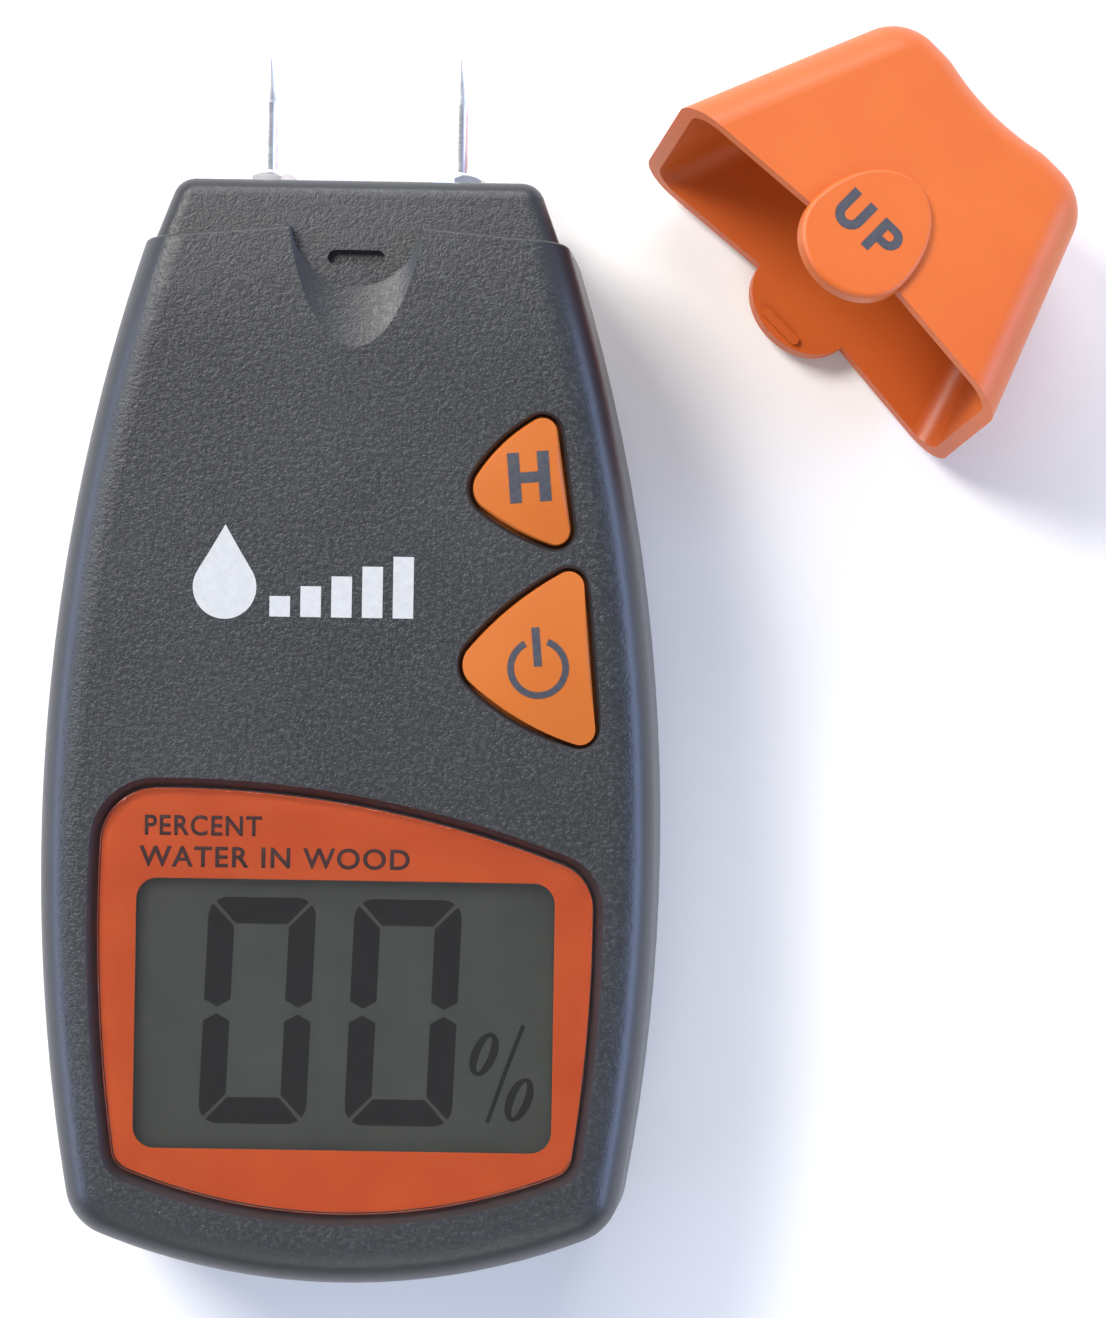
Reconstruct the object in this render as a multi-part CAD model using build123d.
from build123d import *
from math import atan, cos, degrees, radians, sin, sqrt, tan
import os

# Pin-type moisture meter with its push-on cap.
# Frame: the meter lies on its back. z = 0 is the rear rest plane, +Y runs to the needles,
# +X is to the right of the display, and x = y = 0 is the middle of the housing.
os.makedirs("parts", exist_ok=True)

# --- Housing, outside -----------------------------------------------------------------
housing_length = 109.4
housing_width = 62.0
housing_height = 26.0
side_radius = 195.0          # long bowed sides
widest_y = -11.4             # where the two sides are furthest apart
end_radius = 66.0            # bowed lower end
end_corner_radius = 6.3
edge_radius = 4.2            # rolled edges between the faces and the sides
side_draft = 5.0             # each half narrows away from the parting plane, degrees
face_curve_radius = 80.0     # both faces curve in towards the neck
face_slope = 9.0             # slope of the faces where they meet the cap, degrees
neck_length = 4.4            # from the middle of the shoulder to the end of the neck
neck_end_width = 35.4
neck_lean = 20.0             # lean of the neck sides and the cap sides, degrees
neck_corner_radius = 2.3
neck_edge_radius = 2.2
shoulder_slope = 5.0
shoulder_corner_radius = 2.5
shoulder_edge_radius = 0.35
wall = 2.0
neck_wall = 1.8
neck_end_wall = 2.6
lip_height = 1.0
lip_thickness = 0.9
lip_gap = 0.1

# --- Cap ------------------------------------------------------------------------------
cap_wall = 1.4
cap_face_gap = 0.15          # between the cap's walls and the faces of the neck
cap_side_gap = 0.4
cap_mouth_gap = 0.2          # between the cap's mouth and the shoulder
cap_length = 23.3
cap_lean = 18.5
cap_corner_radius = 5.6
cap_end_wall = 1.8
cap_dip_radius = 24.0        # shallow finger dip in the closed end
cap_dip_depth = 0.9
cap_dip_blend = 7.0
tongue_radius = 6.05
front_tongue_length = 5.6
rear_tongue_length = 4.8
pad_length = 9.2             # raised oval pad above the mouth
pad_raise = 0.7
pad_edge_radius = 0.45
scallop_gap = 0.35
rib_width = 5.0
rib_thickness = 0.9
rib_height = 0.45
slot_width = 5.6
slot_length = 1.5
slot_depth = 0.8
slot_from_shoulder = 3.5
thumb_radius = 11.0          # thumb scoop that runs into the scallop
thumb_slope = 15.0
thumb_length = 12.4
cap_turn = -44.2             # how the loose cap is turned beside the meter, degrees
cap_rest_x = 47.1            # where the middle of its mouth lies
cap_rest_y = 47.0

# --- Electrodes -----------------------------------------------------------------------
needle_spacing = 19.2
needle_diameter = 1.85
needle_length = 13.95        # past the end of the neck
point_length = 5.2
point_tip_diameter = 0.12
stud_diameter = 2.5
stud_length = 7.6            # inside the neck
stud_proud = 0.5             # past the outer nut
stud_chamfer = 0.25
nut_across_flats = 5.0
nut_height = 2.0
nut_sink = 0.55              # outer nut's recess in the neck
nut_chamfer = 0.35
nut_turns = (0.0, 22.0)      # how the two nuts happened to end up, degrees
stud_clearance = 0.1
tag_thickness = 0.5
tag_diameter = 5.6

# --- Display --------------------------------------------------------------------------
lens_half_width = 24.15
lens_side_radius = 160.0
lens_widest_y = -17.5
lens_end_radius = 57.0
lens_above_end = 8.0         # from the housing's lower end to the lens
lens_top_radius = 108.0
lens_top_x = -17.0
lens_top_y = -5.35
lens_left_corner = 5.5
lens_right_corner = 4.5
lens_lower_corner = 2.4
lens_thickness = 1.0
lens_recess = 0.4            # lens face below the housing face
lens_gap = 0.12
lens_edge = 0.15
backing_thickness = 0.1      # printed adhesive sheet behind the lens
pocket_floor = 1.0
pocket_slope = 31.0
window_width = 40.9
window_height = 26.4
window_corner = 2.1
window_y = -27.35
glass_width = 44.5
glass_height = 30.5
glass_thickness = 0.9
glass_step = 1.6             # contact ledge of the front glass past the rear glass
zebra_thickness = 1.2
reflector_thickness = 0.2
aperture_margin = 0.8
frame_wall = 1.1
display_gap = 0.1

# --- Keys -----------------------------------------------------------------------------
key_gap = 0.35
key_proud = 0.6
key_travel = 0.4
key_edge_radius = 0.7
key_dome_radius = 60.0
key_flange = 0.9
key_flange_thickness = 0.8
flange_gap = 0.3
opening_edge_radius = 0.3
plunger_diameter = 3.0
plunger_gap = 0.1
plunger_grip = 0.8           # length of plunger inside its switch
switch_size = 6.0
switch_height = 1.5

# --- Board, battery and fasteners -----------------------------------------------------
board_thickness = 1.0
board_inset = 1.0
board_top_y = 34.0
battery_width = 26.5
battery_height = 17.5
battery_body_length = 46.4
terminal_height = 2.1
battery_gap = 0.1
battery_side_gap = 0.4
insulator_thickness = 0.2
snap_thickness = 4.5
door_skin = 1.5
door_length = 61.0
door_gap = 0.25
door_tongue = 0.8
door_tongue_thickness = 0.6
door_lip = 0.5
bay_wall = 1.2
lead_diameter = 1.2
case_screw_diameter = 2.6
case_screw_length = 12.0
case_head_diameter = 4.6
case_head_height = 1.8
case_head_depth = 5.0
board_screw_diameter = 2.0
board_screw_length = 4.0
board_head_diameter = 3.6
board_head_height = 1.3
recess_reach = 0.55          # cross recess, as parts of the screw head's diameter
recess_width = 0.14
boss_wall = 1.4
battery_corner_radius = 2.0
terminal_diameter = 5.7
terminal_spacing = 12.7
snap_height = 13.0
foam_width = 16.0
grip_count = 5
grip_start = 9.0
grip_pitch = 2.4
grip_width = 18.0
grip_depth = 0.5
processor_size = (10.0, 10.0, 1.5)
processor_place = (-8.0, 8.0)
crystal_size = (2.1, 6.0)
crystal_place = (-14.0, 18.0)
chip_size = (2.0, 1.2, 0.6)
chip_pitch = 3.4
chip_count = 6
chip_row_start = (-16.0, -2.5)

# --- Places worked out from the sizes -------------------------------------------------
half_width = housing_width / 2
middle_z = housing_height / 2
top_y = housing_length / 2
bottom_y = -housing_length / 2
shoulder_y = top_y - neck_length
curve_start_y = shoulder_y - face_curve_radius * sin(radians(face_slope))
neck_inset = cap_wall + cap_face_gap
scallop_radius = tongue_radius + scallop_gap
lens_top_z = housing_height - lens_recess
lens_back_z = lens_top_z - lens_thickness
pocket_z = lens_back_z - backing_thickness
pocket_under_z = pocket_z - pocket_floor
battery_bottom_z = door_skin + battery_gap
battery_top_z = battery_bottom_z + battery_height
board_bottom_z = battery_top_z + 3 * battery_gap
board_top_z = board_bottom_z + board_thickness
glass_top_z = pocket_under_z - display_gap
glass_middle_z = glass_top_z - glass_thickness
glass_bottom_z = glass_middle_z - glass_thickness
bow_y = bottom_y + end_radius - sqrt((end_radius - wall) ** 2 - (battery_width / 2) ** 2)
battery_end_y = bow_y + (battery_top_z - middle_z) * tan(radians(side_draft)) + door_gap
battery_top_y = battery_end_y + battery_body_length
terminal_y = battery_top_y + terminal_height
door_end_y = bottom_y + door_length
bay_half = battery_width / 2 + battery_side_gap
case_screw_places = [(22.5, bottom_y + 7.6), (-22.5, bottom_y + 7.6), (17.0, 39.5), (-17.0, 39.5)]
board_screw_places = [(-20.5, 7.0), (-16.5, 29.5), (4.5, 29.5)]

case_boss = case_screw_diameter + 2 * boss_wall
board_boss = board_screw_diameter + 2 * boss_wall
tag_end_z = middle_z - nut_across_flats / sqrt(3) - 1.6 * lead_diameter
battery_middle_z = (battery_bottom_z + battery_top_z) / 2

hold_corners = [(11.2, 23.75), (19.7, 32.05), (21.7, 18.35)]
hold_bulges = (1.1, 0.84)
hold_centre = (17.0, 25.4)
power_corners = [(10.3, 6.9), (22.6, 17.2), (24.3, -1.0)]
power_bulges = (1.03, 1.28)
power_centre = (18.4, 7.4)
key_point_radius = 2.4
key_corner_radius = 1.5


# --- Shared outlines and solids -------------------------------------------------------
def box(x0, x1, y0, y1, z0, z1):
    """A box between two corners."""
    return Pos((x0 + x1) / 2, (y0 + y1) / 2, (z0 + z1) / 2) * Box(x1 - x0, y1 - y0, z1 - z0)


def post(x, y, z0, z1, diameter):
    """A round post along Z between two heights."""
    return Pos(x, y, (z0 + z1) / 2) * Cylinder(diameter / 2, z1 - z0)


def rod(x, y0, y1, diameter, z=middle_z):
    """A round rod along Y between two places."""
    return Pos(x, (y0 + y1) / 2, z) * Rot(90, 0, 0) * Cylinder(diameter / 2, y1 - y0)


def hexagon(across_flats, height, chamfer_size):
    """A hexagonal nut blank standing on z = 0, with both rims chamfered by a turned cone."""
    blank = extrude(RegularPolygon(across_flats / 2, 6, major_radius=False), amount=height)
    corner = across_flats / sqrt(3)
    rims = Pos(0, 0, height / 2) * Cylinder(corner, height)
    return blank & chamfer(rims.edges().filter_by(GeomType.CIRCLE), chamfer_size)


def side_face(inset, far_y):
    """Side view: flat faces that curve in towards the neck and run on straight to far_y."""
    near_y = bottom_y - 1
    radius = face_curve_radius - inset
    centre_z = middle_z - face_curve_radius
    slope = radians(face_slope)
    flat = middle_z - inset

    def on_curve(angle):
        return (curve_start_y + radius * sin(angle), centre_z + radius * cos(angle))

    bend = on_curve(slope)
    far = (far_y, bend[1] - (far_y - bend[0]) * tan(slope))
    half = Polyline((near_y, 0), (near_y, flat), (curve_start_y, flat))
    half += ThreePointArc((curve_start_y, flat), on_curve(slope / 2), bend)
    half += Polyline(bend, far, (far_y, 0), (near_y, 0))
    face = make_face(half.edges())
    return Plane.YZ.offset(0) * Pos(0, middle_z) * (face + mirror(face, Plane.XZ))


def between_faces(inset, far_y):
    """The space between the two faces, much wider than the housing."""
    return extrude(side_face(inset, far_y), amount=housing_width, both=True)


def housing_plan(inset, end_y=None):
    """Plan outline of the housing below its neck, or only up to end_y."""
    turned = Rot(0, 0, 180)
    plan = Pos(half_width - side_radius, widest_y) * turned * Circle(side_radius - inset)
    plan &= Pos(side_radius - half_width, widest_y) * Circle(side_radius - inset)
    plan &= Pos(0, bottom_y + end_radius) * Rot(0, 0, 90) * Circle(end_radius - inset)
    if end_y is None:
        fall = half_width * tan(radians(shoulder_slope))
        peak = shoulder_y - inset
        reach = [(half_width, peak - fall), (0, peak), (-half_width, peak - fall)]
    else:
        reach = [(half_width, end_y), (-half_width, end_y)]
    plan &= Polygon(*reach, (-half_width, bottom_y - 1), (half_width, bottom_y - 1), align=None)
    low = plan.vertices().sort_by(Axis.Y)[:2]
    plan = fillet(low, end_corner_radius - inset)
    if end_y is None:
        high = [v for v in plan.vertices() if v.Y > curve_start_y and abs(v.X) > half_width / 2]
        plan = fillet(high, shoulder_corner_radius)
    return plan


def drafted(inset, end_y, reach_z):
    """The plan carried up and down from the parting plane, narrowing with the mould's draft."""
    widest = housing_plan(inset, end_y)
    narrow = housing_plan(inset + reach_z * tan(radians(side_draft)), end_y)
    upper = loft([Pos(0, 0, middle_z) * widest, Pos(0, 0, middle_z + reach_z) * narrow], ruled=True)
    lower = loft([Pos(0, 0, middle_z) * widest, Pos(0, 0, middle_z - reach_z) * narrow], ruled=True)
    return upper + lower


def face_rims(solid, far_y):
    """The long edges where the faces meet the sides, without the seams that cross the faces."""
    rims = []
    for edge in solid.edges():
        centre = edge.center()
        on_face = abs(centre.Z - middle_z) > middle_z / 2
        seam = abs(centre.X) < 1 and centre.Y > 0
        if on_face and not seam and centre.Y < far_y:
            rims.append(edge)
    return rims


def neck_half(y):
    """Half width of the neck at a place along it."""
    return neck_end_width / 2 + (top_y - y) * tan(radians(neck_lean))


def neck_block(inset, end_inset, root_y, corner_radius, rim_radius):
    """The neck, or its hollow, from root_y inside the housing to its end."""
    end_y = top_y - end_inset
    sides = [(neck_half(y) - inset) for y in (root_y, end_y)]
    plan = Polygon((-sides[0], root_y), (sides[0], root_y), (sides[1], end_y),
                   (-sides[1], end_y), align=None)
    plan = fillet(plan.vertices().sort_by(Axis.Y)[-2:], corner_radius)
    block = extrude(plan, amount=housing_height)
    block &= between_faces(neck_inset + (inset if inset else 0), top_y + 1)
    if rim_radius:
        rims = [e for e in block.edges()
                if e.center().Y > root_y + 0.1 and abs(e.tangent_at(0.5).Z) < 0.5]
        block = fillet(rims, rim_radius)
    return block


def thumb_scoop():
    """A round gouge that deepens towards the scallop, on the front face."""
    tip_y = shoulder_y - thumb_length
    gouge = Rot(90, 0, 0) * Cylinder(thumb_radius, 3 * thumb_length)
    lift = thumb_radius / cos(radians(thumb_slope))
    gouge = Pos(0, tip_y, housing_height + lift) * Rot(-thumb_slope, 0, 0) * gouge
    return gouge & box(-thumb_radius, thumb_radius, tip_y - 1, shoulder_y + 1, middle_z, 2 * housing_height)


def scallops():
    """What the scallops and thumb scoops take out of the housing, front and rear."""
    dish = extrude(Pos(0, shoulder_y) * Circle(scallop_radius), amount=housing_height)
    dish -= between_faces(neck_inset, top_y + 1)
    arc = extrude(Pos(0, shoulder_y) * Circle(scallop_radius), amount=2 * housing_height)
    scoop = thumb_scoop() - arc
    cut = dish + scoop + Pos(0, 0, housing_height) * Rot(0, 180, 0) * scoop
    slot_y = shoulder_y - slot_from_shoulder
    slot = SlotOverall(slot_width, slot_length)
    cut += Pos(0, slot_y) * extrude(slot, amount=housing_height) - between_faces(
        neck_inset + slot_depth, top_y + 1)
    return cut


def housing_outside():
    """The whole outside of the housing as one solid."""
    body = drafted(0, top_y + 2, middle_z) & between_faces(0, top_y + 3)
    body = fillet(face_rims(body, top_y + 1), edge_radius)
    body &= extrude(housing_plan(0), amount=housing_height)
    rims = [e for e in body.edges() if e.center().Y > shoulder_y - neck_length
            and e.length > 2 * shoulder_corner_radius and abs(e.center().Z - middle_z) > edge_radius
            and abs(e.tangent_at(0.5).X) > 0.9]
    body = fillet(rims, shoulder_edge_radius)
    body += neck_block(0, 0, shoulder_y - 8, neck_corner_radius, neck_edge_radius)
    return body - scallops()


def housing_cavity():
    """The hollow inside the housing and its neck."""
    end_y = curve_start_y - 1
    hollow = drafted(wall, end_y, middle_z - wall)
    hollow &= between_faces(wall, top_y)
    hollow += neck_block(neck_wall, neck_end_wall, end_y - 1, neck_corner_radius / 2, 0)
    return hollow


def lens_plan(grow):
    """Plan outline of the display lens, grown on every side."""
    side = Circle(lens_side_radius + grow)
    plan = Pos(lens_half_width - lens_side_radius, lens_widest_y) * Rot(0, 0, 180) * side
    plan &= Pos(lens_side_radius - lens_half_width, lens_widest_y) * side
    lower_y = bottom_y + lens_above_end
    plan &= Pos(0, lower_y + lens_end_radius) * Rot(0, 0, 90) * Circle(lens_end_radius + grow)
    plan &= Pos(lens_top_x, lens_top_y - lens_top_radius) * Rot(0, 0, 270) * Circle(lens_top_radius + grow)
    corners = plan.vertices().sort_by(Axis.Y)
    plan = fillet(corners[:2], lens_lower_corner + grow)
    corners = plan.vertices().sort_by(Axis.Y)[-2:].sort_by(Axis.X)
    plan = fillet(corners[0], lens_left_corner + grow)
    corners = [v for v in plan.vertices() if v.X > lens_half_width / 2].copy()
    upper = sorted(corners, key=lambda v: v.Y)[-1]
    return fillet(upper, lens_right_corner + grow)


def key_plan(corners, bulges, grow):
    """Plan outline of a three-cornered key: two bowed sides and a straight one."""
    point, upper, lower = corners
    outline = SagittaArc(point, upper, bulges[0])
    outline += Line(upper, lower)
    outline += SagittaArc(lower, point, bulges[1])
    plan = make_face(outline.edges())
    left, *right = plan.vertices().sort_by(Axis.X)
    plan = fillet(left, key_point_radius)
    ends = sorted(plan.vertices(), key=lambda v: v.X)[-2:]
    plan = fillet(ends, key_corner_radius)
    return offset(plan, grow) if grow else plan


def needle_places():
    """X of the two electrodes."""
    return (-needle_spacing / 2, needle_spacing / 2)


# --- Covers ---------------------------------------------------------------------------
def electrode_holes():
    """Stud holes and nut recesses in the end wall of the neck."""
    holes = []
    for x, turn in zip(needle_places(), nut_turns):
        holes.append(rod(x, top_y - neck_end_wall - 1, top_y, stud_diameter + 2 * stud_clearance))
        holes.append(nut(x, top_y - nut_sink, 2 * nut_height, nut_across_flats + 2 * stud_clearance, turn))
    return holes


def joint_lip(inset_out, inset_in, height):
    """A ring just inside the parting plane, open where the battery door's end wall stands."""
    end_y = curve_start_y - 2
    ring = housing_plan(inset_out, end_y) - housing_plan(inset_in, end_y + 1)
    lip = Pos(0, 0, middle_z) * extrude(ring, amount=height)
    gap = bay_half + wall
    return lip - box(-gap, gap, bottom_y - 1, bottom_y + edge_radius + wall, 0, housing_height)


def front_cover():
    """Upper shell: key openings, lens pocket with its window, screw bosses and board posts."""
    outside = housing_outside()
    cover = outside - housing_cavity()
    thick = extrude(lens_plan(wall), amount=housing_height - pocket_under_z)
    cover += outside & (Pos(0, 0, pocket_under_z) * thick)
    for x, y in case_screw_places:
        cover += outside & post(x, y, middle_z, pocket_under_z + wall / 2, case_boss)
    for x, y in board_screw_places:
        cover += post(x, y, board_top_z, housing_height - wall / 2, board_boss)
    for x, y in case_screw_places:
        cover -= post(x, y, 0, case_head_depth + case_screw_length + wall / 2, case_screw_diameter)
    for x, y in board_screw_places:
        cover -= post(x, y, 0, board_bottom_z + board_screw_length + wall / 4, board_screw_diameter)
    pocket = extrude(lens_plan(lens_gap), amount=housing_height - pocket_z + 1, taper=-pocket_slope)
    cover -= Pos(0, 0, pocket_z) * pocket
    opening = RectangleRounded(window_width + 2 * aperture_margin, window_height + 2 * aperture_margin,
                               window_corner)
    cover -= Pos(0, window_y, pocket_under_z - 1) * extrude(opening, amount=housing_height)
    for corners, bulges in ((hold_corners, hold_bulges), (power_corners, power_bulges)):
        plan = key_plan(corners, bulges, key_gap)
        cover -= Pos(0, 0, middle_z) * extrude(plan, amount=housing_height)
        rim = key_plan(corners, bulges, key_gap)
        flare = extrude(rim, amount=2 * opening_edge_radius, taper=-45)
        cover -= Pos(0, 0, housing_height - opening_edge_radius) * flare
    cover -= joint_lip(wall - lip_thickness - lip_gap, wall + lip_gap, lip_height + lip_gap)
    cover -= electrode_holes()
    upper = box(-housing_width, housing_width, -housing_length, housing_length, middle_z,
                housing_height)
    return cover & upper


def rear_cover():
    """Lower shell: battery bay with the door's opening and grooves, screw posts and lip."""
    outside = housing_outside()
    cavity = housing_cavity()
    lower = box(-housing_width, housing_width, -housing_length, housing_length, 0, middle_z)
    cover = (outside - cavity) & lower
    for side in (-1, 1):
        x0, x1 = sorted((side * bay_half, side * (bay_half + bay_wall)))
        cover += cavity & box(x0, x1, bottom_y, door_end_y + bay_wall, wall / 2, middle_z)
    cover += cavity & box(-bay_half, bay_half, door_end_y, door_end_y + bay_wall, wall / 2,
                          battery_middle_z - 2 * lead_diameter)
    bore = case_head_diameter + 2 * door_gap
    for x, y in case_screw_places:
        cover += outside & lower & post(x, y, 0, middle_z, bore + 2 * bay_wall)
    for x, y in case_screw_places:
        cover -= post(x, y, 0, case_head_depth, bore)
        cover -= post(x, y, 0, middle_z + 1, case_screw_diameter + 2 * stud_clearance)
    cover -= box(-bay_half, bay_half, bottom_y - 1, door_end_y, -1, middle_z + lip_height + 1)
    reach = bay_half + door_tongue + door_gap
    cover -= box(-reach, reach, bottom_y - 1, door_end_y, door_lip,
                 door_lip + door_tongue_thickness + 2 * door_gap)
    cover += joint_lip(wall - lip_thickness, wall + lip_gap, lip_height) - case_boss_clearance()
    cover -= electrode_holes()
    return cover


def case_boss_clearance():
    """Room for the front cover's bosses where they meet the lip."""
    return [post(x, y, middle_z, housing_height, case_boss + 2 * door_gap) for x, y in case_screw_places]


def battery_door():
    """Sliding door: rear plate, end wall, side tongues and finger grooves."""
    half = bay_half - door_gap
    end_y = door_end_y - door_gap
    zone = box(-half, half, bottom_y - 1, end_y, -1, middle_z - door_gap)
    inside = Pos(0, 0, door_skin) * extrude(housing_plan(wall, end_y + 1), amount=housing_height)
    door = (housing_outside() & zone) - inside
    low = door_lip + door_gap
    reach = bay_half + door_tongue
    start_y = bottom_y + edge_radius + wall
    for side in (-1, 1):
        x0, x1 = sorted((side * half, side * reach))
        door += box(x0, x1, start_y, end_y, low, low + door_tongue_thickness)
    for step in range(grip_count):
        y = bottom_y + grip_start + step * grip_pitch
        door -= Pos(0, y, 0) * Box(grip_width - step * grip_pitch, grip_pitch / 2, 2 * grip_depth)
    return door


# --- Electrodes and their fasteners ---------------------------------------------------
def nut(x, y, height, across_flats, turn):
    """A plain nut blank on an electrode's axis, starting at y."""
    blank = hexagon(across_flats, height, nut_chamfer)
    return Pos(x, y, middle_z) * Rot(-90, 0, 0) * Rot(0, 0, turn) * blank


def electrode(x):
    """Needle with a conical point on a threaded stud."""
    stud_end = top_y - nut_sink + nut_height + stud_proud
    stud = rod(x, top_y - stud_length, stud_end, stud_diameter)
    stud = chamfer(stud.edges().sort_by(Axis.Y)[-1], stud_chamfer)
    shaft_end = top_y + needle_length - point_length
    needle = rod(x, top_y, shaft_end, needle_diameter)
    point = Cone(needle_diameter / 2, point_tip_diameter / 2, point_length)
    return stud + needle + Pos(x, shaft_end + point_length / 2, middle_z) * Rot(-90, 0, 0) * point


def nuts(y):
    """Both nuts of a row, bored for the studs."""
    blanks = []
    for x, turn in zip(needle_places(), nut_turns):
        blank = nut(x, y, nut_height, nut_across_flats, turn)
        blanks.append(blank - rod(x, y - 1, y + nut_height + 1, stud_diameter))
    return Compound(blanks)


def solder_tags():
    """Flat ring tags under the inner nuts, with a tail towards the rear."""
    tags = []
    y = top_y - neck_end_wall - tag_thickness
    for x in needle_places():
        tag = rod(x, y, y + tag_thickness, tag_diameter)
        tag += box(x - 1, x + 1, y, y + tag_thickness, tag_end_z, middle_z)
        tags.append(tag - rod(x, y - 1, y + 1, stud_diameter))
    return Compound(tags)


def lead(points):
    """A round insulated lead along straight runs joined by tangent arcs."""
    path = FilletPolyline(*points, radius=2 * lead_diameter)
    start = Plane(origin=path @ 0, z_dir=path % 0)
    return sweep(start * Circle(lead_diameter / 2), path=path)


def electrode_leads():
    """Leads from the solder tags to the underside of the board."""
    y = top_y - neck_end_wall - tag_thickness
    z = tag_end_z + lead_diameter
    turn_y = board_top_y - 2
    return Compound([lead([(x, y, z), (x, turn_y, z), (x, turn_y, board_bottom_z)])
                     for x in needle_places()])


# --- Display --------------------------------------------------------------------------
def display_lens():
    """Clear moulded lens with a softened front edge."""
    lens = extrude(lens_plan(0), amount=lens_thickness)
    return Pos(0, 0, lens_back_z) * fillet(lens.faces().sort_by(Axis.Z)[-1].edges(), lens_edge)


def lens_backing():
    """Printed adhesive sheet behind the lens, cut out over the display."""
    sheet = lens_plan(-lens_edge)
    sheet -= Pos(0, window_y) * RectangleRounded(window_width, window_height, window_corner)
    return Pos(0, 0, pocket_z) * extrude(sheet, amount=backing_thickness)


def display_plate(width, height, low_z, high_z):
    """A flat layer of the display, centred on the window."""
    return box(-width / 2, width / 2, window_y - height / 2, window_y + height / 2, low_z, high_z)


def display_frame():
    """Frame that holds the display glass between the board and the front cover."""
    inner_w = glass_width + 2 * display_gap
    inner_h = glass_height + 2 * display_gap
    frame = display_plate(inner_w + 2 * frame_wall, inner_h + 2 * frame_wall, board_top_z, glass_top_z)
    return frame - display_plate(inner_w, inner_h, 0, housing_height)


def zebra_strips():
    """Two rubber contact strips between the board and the glass ledges."""
    strips = []
    reach = glass_height / 2
    for side in (-1, 1):
        y = window_y + side * (reach - zebra_thickness / 2 - display_gap)
        strips.append(box(-window_width / 2, window_width / 2, y - zebra_thickness / 2,
                          y + zebra_thickness / 2, board_top_z, glass_middle_z))
    return Compound(strips)


# --- Keys -----------------------------------------------------------------------------
def key_cap(corners, bulges):
    """Key cap with a domed top, rolled edges and a retaining flange."""
    flange_top = housing_height - wall - flange_gap
    flange_low = flange_top - key_flange_thickness
    top_z = housing_height + key_proud
    body = Pos(0, 0, flange_low) * extrude(key_plan(corners, bulges, 0), amount=top_z - flange_low)
    body = fillet(body.faces().sort_by(Axis.Z)[-1].edges(), key_edge_radius)
    x = sum(c[0] for c in corners) / 3
    y = sum(c[1] for c in corners) / 3
    body &= Pos(x, y, top_z - key_dome_radius) * Sphere(key_dome_radius)
    flange = extrude(key_plan(corners, bulges, key_flange), amount=key_flange_thickness)
    return body + Pos(0, 0, flange_low) * flange


def key_plunger(centre):
    """Plunger of a key switch, from inside the switch to the underside of its key."""
    low = board_top_z + switch_height - plunger_grip
    high = housing_height - wall - flange_gap - key_flange_thickness
    return post(*centre, low, high, plunger_diameter)


def key_switches():
    """Bodies of the two key switches on the board."""
    bodies = []
    for x, y in (hold_centre, power_centre):
        body = Pos(x, y, board_top_z + switch_height / 2) * Box(switch_size, switch_size, switch_height)
        well = board_top_z + switch_height - plunger_grip - key_travel - plunger_gap
        bore = plunger_diameter + 2 * plunger_gap
        bodies.append(body - post(x, y, well, housing_height, bore))
    return Compound(bodies)


# --- Board ----------------------------------------------------------------------------
def circuit_board():
    """Board cut to the housing, with holes for its screws and room for the bosses."""
    plan = housing_plan(wall + board_inset, board_top_y)
    board = Pos(0, 0, board_bottom_z) * extrude(plan, amount=board_thickness)
    for x, y in case_screw_places:
        board -= post(x, y, 0, housing_height, case_boss + 2 * display_gap + door_gap)
    for x, y in board_screw_places:
        board -= post(x, y, 0, housing_height, board_screw_diameter + 2 * stud_clearance)
    return board


def chips():
    """Passive chips in a row beside the processor."""
    x, y = chip_row_start
    return Compound([Pos(x + i * chip_pitch, y, board_top_z + chip_size[2] / 2) * Box(*chip_size)
                     for i in range(chip_count)])


# --- Battery --------------------------------------------------------------------------
def battery():
    """Nine-volt block battery."""
    block = box(-battery_width / 2, battery_width / 2, battery_end_y, battery_top_y,
                battery_bottom_z, battery_top_z)
    return fillet(block.edges().filter_by(Axis.Y), battery_corner_radius)


def battery_terminals():
    """The battery's two snap terminals."""
    return Compound([rod(x, battery_top_y, terminal_y, terminal_diameter, battery_middle_z)
                     for x in (-terminal_spacing / 2, terminal_spacing / 2)])


def battery_snap():
    """Moulded snap connector that sits over the terminals."""
    z = battery_middle_z
    y0 = battery_top_y + battery_gap
    snap = box(-battery_width / 2, battery_width / 2, y0, y0 + snap_thickness,
               z - snap_height / 2, z + snap_height / 2)
    for x in (-terminal_spacing / 2, terminal_spacing / 2):
        snap -= rod(x, y0 - 1, terminal_y + battery_gap, terminal_diameter + 2 * battery_gap, z)
    return snap


def battery_lead(x):
    """Lead from the snap to the underside of the board."""
    y0 = battery_top_y + battery_gap + snap_thickness
    y1 = door_end_y + bay_wall + 3 * lead_diameter
    return lead([(x, y0, battery_middle_z), (x, y1, battery_middle_z), (x, y1, board_bottom_z)])


def end_foam():
    """Foam strip on the door's end wall that keeps the battery from rattling."""
    inside = extrude(housing_plan(wall, door_end_y), amount=housing_height)
    pad = box(-foam_width / 2, foam_width / 2, bottom_y, battery_end_y, door_skin + battery_gap,
              middle_z - 2 * door_gap)
    return pad & inside


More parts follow.
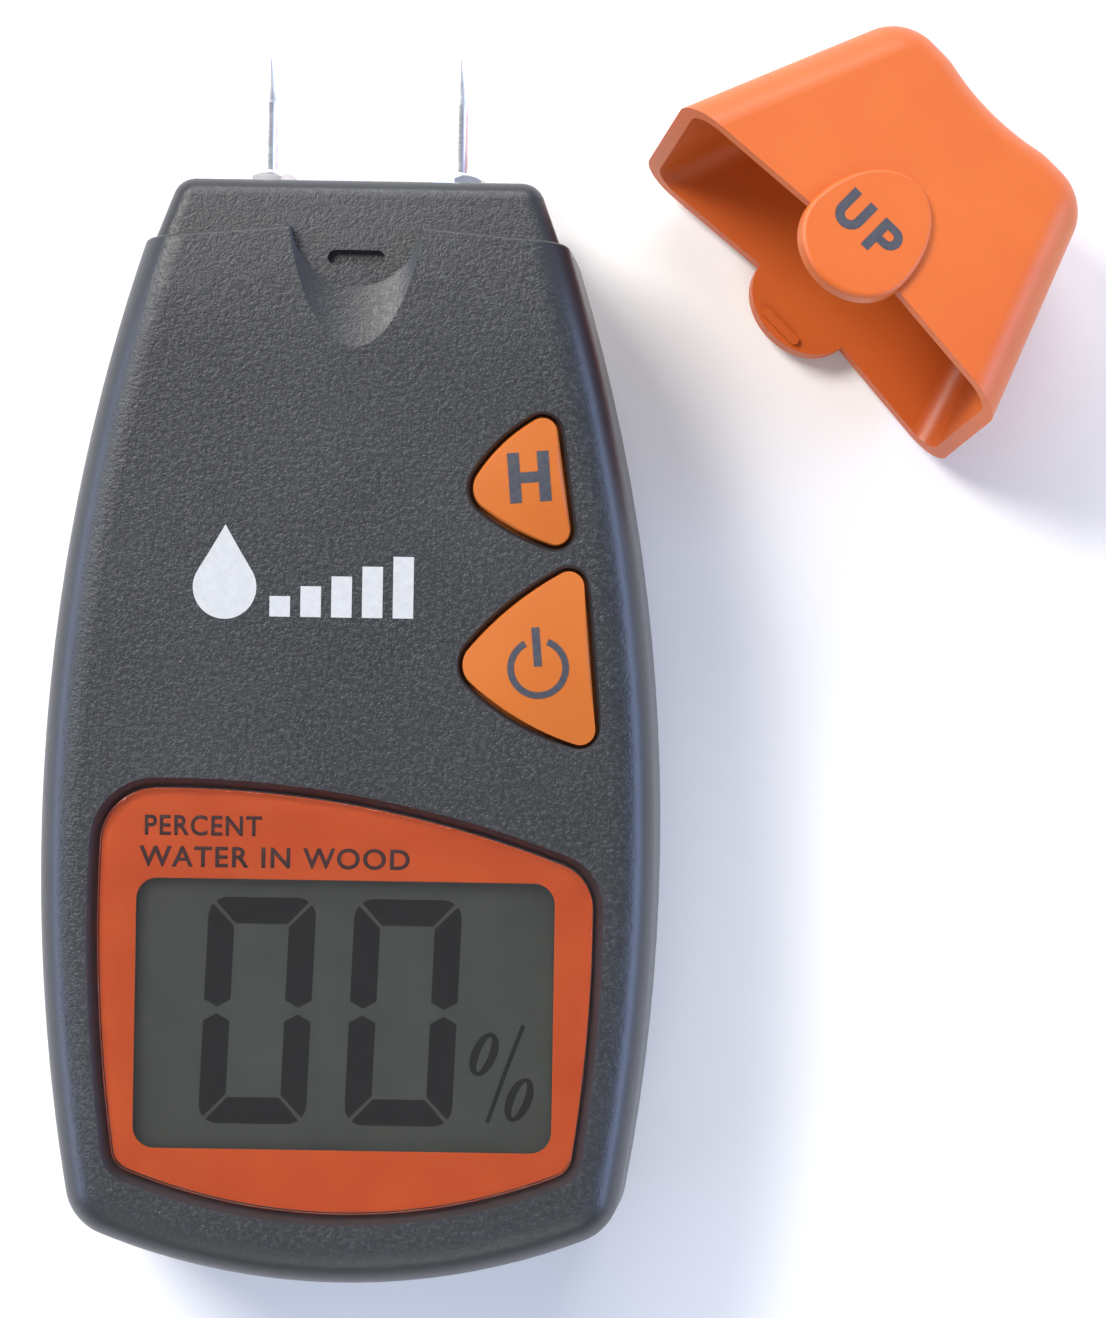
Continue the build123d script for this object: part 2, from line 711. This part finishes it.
# --- Screws ---------------------------------------------------------------------------
def screws(places, seat_z, head_diameter, head_height, diameter, length):
    """Pan-head screws driven towards the front, with a cross recess, in one group."""
    group = []
    for x, y in places:
        head = post(x, y, seat_z - head_height, seat_z, head_diameter)
        head = fillet(head.edges().sort_by(Axis.Z)[0], head_height / 3)
        slot = head_height / 2
        for turn in (0, 90):
            recess = Box(head_diameter * recess_reach, head_diameter * recess_width, 2 * slot)
            head -= Pos(x, y, seat_z - head_height) * Rot(0, 0, turn) * recess
        group.append(head + post(x, y, seat_z, seat_z + length, diameter))
    return Compound(group)


# --- Cap ------------------------------------------------------------------------------
def cap_plan(inset, end_inset, root_y):
    """Plan of the cap, or of its hollow, with a shallow dip in the closed end."""
    base = neck_half(shoulder_y) + cap_side_gap + cap_wall - inset
    closed_y = shoulder_y + cap_mouth_gap + cap_length
    end_y = closed_y - end_inset

    def half(y):
        return base - (y - shoulder_y) * tan(radians(cap_lean))

    plan = Polygon((-half(root_y), root_y), (half(root_y), root_y), (half(end_y), end_y),
                   (-half(end_y), end_y), align=None)
    plan = fillet(plan.vertices().sort_by(Axis.Y)[-2:], cap_corner_radius - inset)
    dip_y = closed_y - cap_dip_depth + cap_dip_radius
    plan -= Pos(0, dip_y) * Rot(0, 0, 90) * Circle(cap_dip_radius + end_inset)
    dip_half = sqrt(cap_dip_radius ** 2 - (cap_dip_radius - cap_dip_depth) ** 2)
    peaks = [v for v in plan.vertices() if v.Y > end_y - 0.05 and abs(v.X) < 1.15 * dip_half]
    return fillet(peaks, cap_dip_blend)


def cap_block(inset, end_inset, root_y):
    """The cap's outer shape, or its hollow, with rolled edges."""
    block = extrude(cap_plan(inset, end_inset, root_y), amount=housing_height)
    block &= between_faces(inset, top_y + cap_length)
    rims = [e for e in block.edges()
            if e.center().Y > root_y + 0.1 and abs(e.tangent_at(0.5).Z) < 0.5
            and abs(e.center().Z - middle_z) > 1]
    return fillet(rims, edge_radius - inset)


def face_z(y, inset):
    """Height of the front face, or of a surface inset from it, towards the neck."""
    radius = face_curve_radius - inset
    bend_y = curve_start_y + radius * sin(radians(face_slope))
    on_curve = min(y, bend_y) - curve_start_y
    height = middle_z * 2 - face_curve_radius + sqrt(radius ** 2 - on_curve ** 2)
    return height - max(0, y - bend_y) * tan(radians(face_slope))


def grip_pad(tongue_length):
    """Front grip pad: an oval pad above the mouth, a tongue below it and the detent rib."""
    mouth_y = shoulder_y + cap_mouth_gap
    far_y = top_y + cap_length
    upper = box(-housing_width, housing_width, 0, housing_length, middle_z, 2 * housing_height)
    tongue = Pos(0, mouth_y) * Ellipse(tongue_radius, tongue_length)
    tongue &= Pos(0, mouth_y - tongue_length / 2) * Rectangle(3 * tongue_radius, tongue_length)
    oval = Pos(0, mouth_y) * Ellipse(tongue_radius, pad_length)
    oval &= Pos(0, mouth_y + pad_length / 2) * Rectangle(3 * tongue_radius, pad_length)
    pad = extrude(tongue + oval, amount=2 * housing_height) & upper
    pad &= between_faces(-pad_raise, far_y) - between_faces(cap_wall, far_y)
    rims = [e for e in pad.edges() if e.geom_type != GeomType.LINE
            and e.center().Z > face_z(e.center().Y, 0) and abs(e.tangent_at(0.5).Z) < 0.7]
    pad = fillet(rims, pad_edge_radius)
    rib = extrude(SlotOverall(rib_width, rib_thickness), amount=housing_height)
    rib = Pos(0, shoulder_y - slot_from_shoulder) * rib & upper
    rib &= between_faces(cap_wall / 2, far_y) - between_faces(cap_wall + rib_height, far_y)
    return pad + rib


def seated_cap():
    """The cap as it sits on the neck."""
    mouth_y = shoulder_y + cap_mouth_gap
    fall = housing_width * tan(radians(shoulder_slope))
    ahead = Polygon((-housing_width, mouth_y - fall), (0, mouth_y), (housing_width, mouth_y - fall),
                    (housing_width, housing_length), (-housing_width, housing_length), align=None)
    shell = cap_block(0, 0, shoulder_y - 2 * neck_length) & extrude(ahead, amount=housing_height)
    front = grip_pad(front_tongue_length)
    rear = Pos(0, 0, housing_height) * Rot(0, 180, 0) * grip_pad(rear_tongue_length)
    hollow = cap_block(cap_wall, cap_end_wall, shoulder_y - 2 * neck_length - 1)
    return (shell - hollow) + front + rear


def loose_cap():
    """The cap lying on its rear pad and closed end beside the meter."""
    tilt = face_slope + degrees(atan(pad_raise / (cap_length - edge_radius - pad_length)))
    cap = Pos(0, -shoulder_y - cap_mouth_gap, -middle_z) * seated_cap()
    cap = Rot(0, 0, cap_turn) * Rot(-tilt, 0, 0) * cap
    return Pos(cap_rest_x, cap_rest_y, -cap.bounding_box().min.Z) * cap


# --- Writing the sub-parts ------------------------------------------------------------
left_x, right_x = needle_places()
inner_nut_y = top_y - neck_end_wall - tag_thickness - nut_height
screw_args = (case_head_diameter, case_head_height, case_screw_diameter, case_screw_length)
board_args = (board_head_diameter, board_head_height, board_screw_diameter, board_screw_length)
px, py = processor_place
cx, cy = crystal_place

subparts = {
    "front_cover": front_cover(),
    "rear_cover": rear_cover(),
    "battery_door": battery_door(),
    "cap": loose_cap(),
    "left_electrode": electrode(left_x),
    "right_electrode": electrode(right_x),
    "outer_nuts": nuts(top_y - nut_sink),
    "inner_nuts": nuts(inner_nut_y),
    "solder_tags": solder_tags(),
    "electrode_leads": electrode_leads(),
    "display_lens": display_lens(),
    "lens_backing": lens_backing(),
    "display_front_glass": display_plate(glass_width, glass_height, glass_middle_z, glass_top_z),
    "display_rear_glass": display_plate(glass_width, glass_height - 2 * glass_step,
                                        glass_bottom_z, glass_middle_z),
    "display_reflector": display_plate(glass_width, glass_height - 2 * glass_step,
                                       glass_bottom_z - reflector_thickness, glass_bottom_z),
    "display_frame": display_frame(),
    "zebra_strips": zebra_strips(),
    "hold_button": key_cap(hold_corners, hold_bulges),
    "power_button": key_cap(power_corners, power_bulges),
    "hold_plunger": key_plunger(hold_centre),
    "power_plunger": key_plunger(power_centre),
    "key_switches": key_switches(),
    "circuit_board": circuit_board(),
    "processor": Pos(px, py, board_top_z + processor_size[2] / 2) * Box(*processor_size),
    "crystal": rod(cx, cy - crystal_size[1] / 2, cy + crystal_size[1] / 2, crystal_size[0],
                   board_top_z + crystal_size[0] / 2),
    "chips": chips(),
    "battery": battery(),
    "battery_terminals": battery_terminals(),
    "battery_snap": battery_snap(),
    "red_battery_lead": battery_lead(terminal_spacing / 2),
    "black_battery_lead": battery_lead(-terminal_spacing / 2),
    "end_foam": end_foam(),
    "board_insulator": box(-bay_half, bay_half, window_y - glass_height / 2, terminal_y,
                           board_bottom_z - insulator_thickness, board_bottom_z),
    "case_screws": screws(case_screw_places, case_head_depth, *screw_args),
    "board_screws": screws(board_screw_places, board_bottom_z, *board_args),
}

for name, solid in subparts.items():
    export_step(solid, os.path.join("parts", name + ".step"))
    print(name, round(solid.volume, 1))
